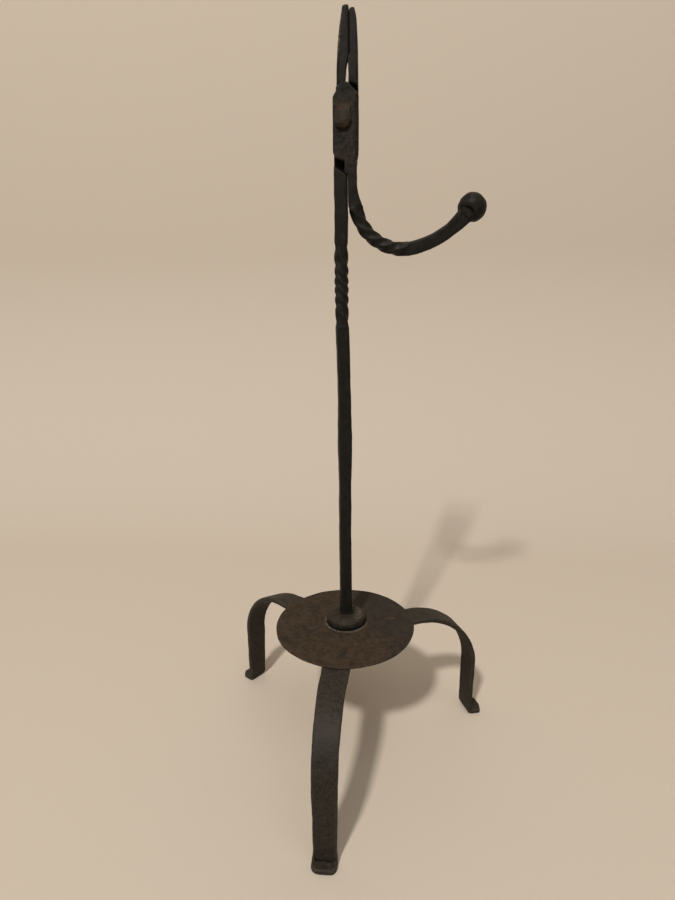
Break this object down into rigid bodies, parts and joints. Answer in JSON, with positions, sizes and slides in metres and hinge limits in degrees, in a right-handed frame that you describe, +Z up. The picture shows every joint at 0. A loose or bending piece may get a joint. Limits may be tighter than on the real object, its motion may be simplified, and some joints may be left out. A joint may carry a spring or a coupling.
{
  "type": "rushlight holder",
  "caption": "Standing wrought-iron rushlight holder: a nip closed by a weighted swing arm, on a twisted stem over a round drip plate with bent strap legs.",
  "frame": {"origin": "on the floor plane that the flats of the three feet share, under the middle of the object's box, which is the middle of its stance; the stem stands 4.3 mm to the left of it and 20.3 mm behind it", "axes": "+Z up along the stem, +X in the arm's swing plane towards its ball weight, -Y towards the front leg and the front of the nip; the hinge rivet lies along Y"},
  "size_m": [0.158, 0.1499, 0.3828],
  "materials": {
    "dark_iron": "hammered, dark, satin",
    "rusty_iron": "hammered, brown with old rust, matte"
  },
  "bodies": {
    "stand": {"stem": "dark_iron", "pivot_rivet": "rusty_iron", "drip_plate": "rusty_iron", "collar": "rusty_iron", "leg_front": "dark_iron", "leg_left": "dark_iron", "leg_right": "dark_iron", "leg_rivet_front": "rusty_iron", "leg_rivet_left": "rusty_iron", "leg_rivet_right": "rusty_iron"},
    "nip_arm": {"swing_arm": "dark_iron", "counterweight": "dark_iron"}
  },
  "joints": [
    {"name": "nip_hinge", "type": "hinge", "parent": "stand", "child": "nip_arm", "pos_m": [-0.0019, 0.0203, 0.338], "axis": [0, -1, 0], "range_deg": [0, 30]}
  ]
}
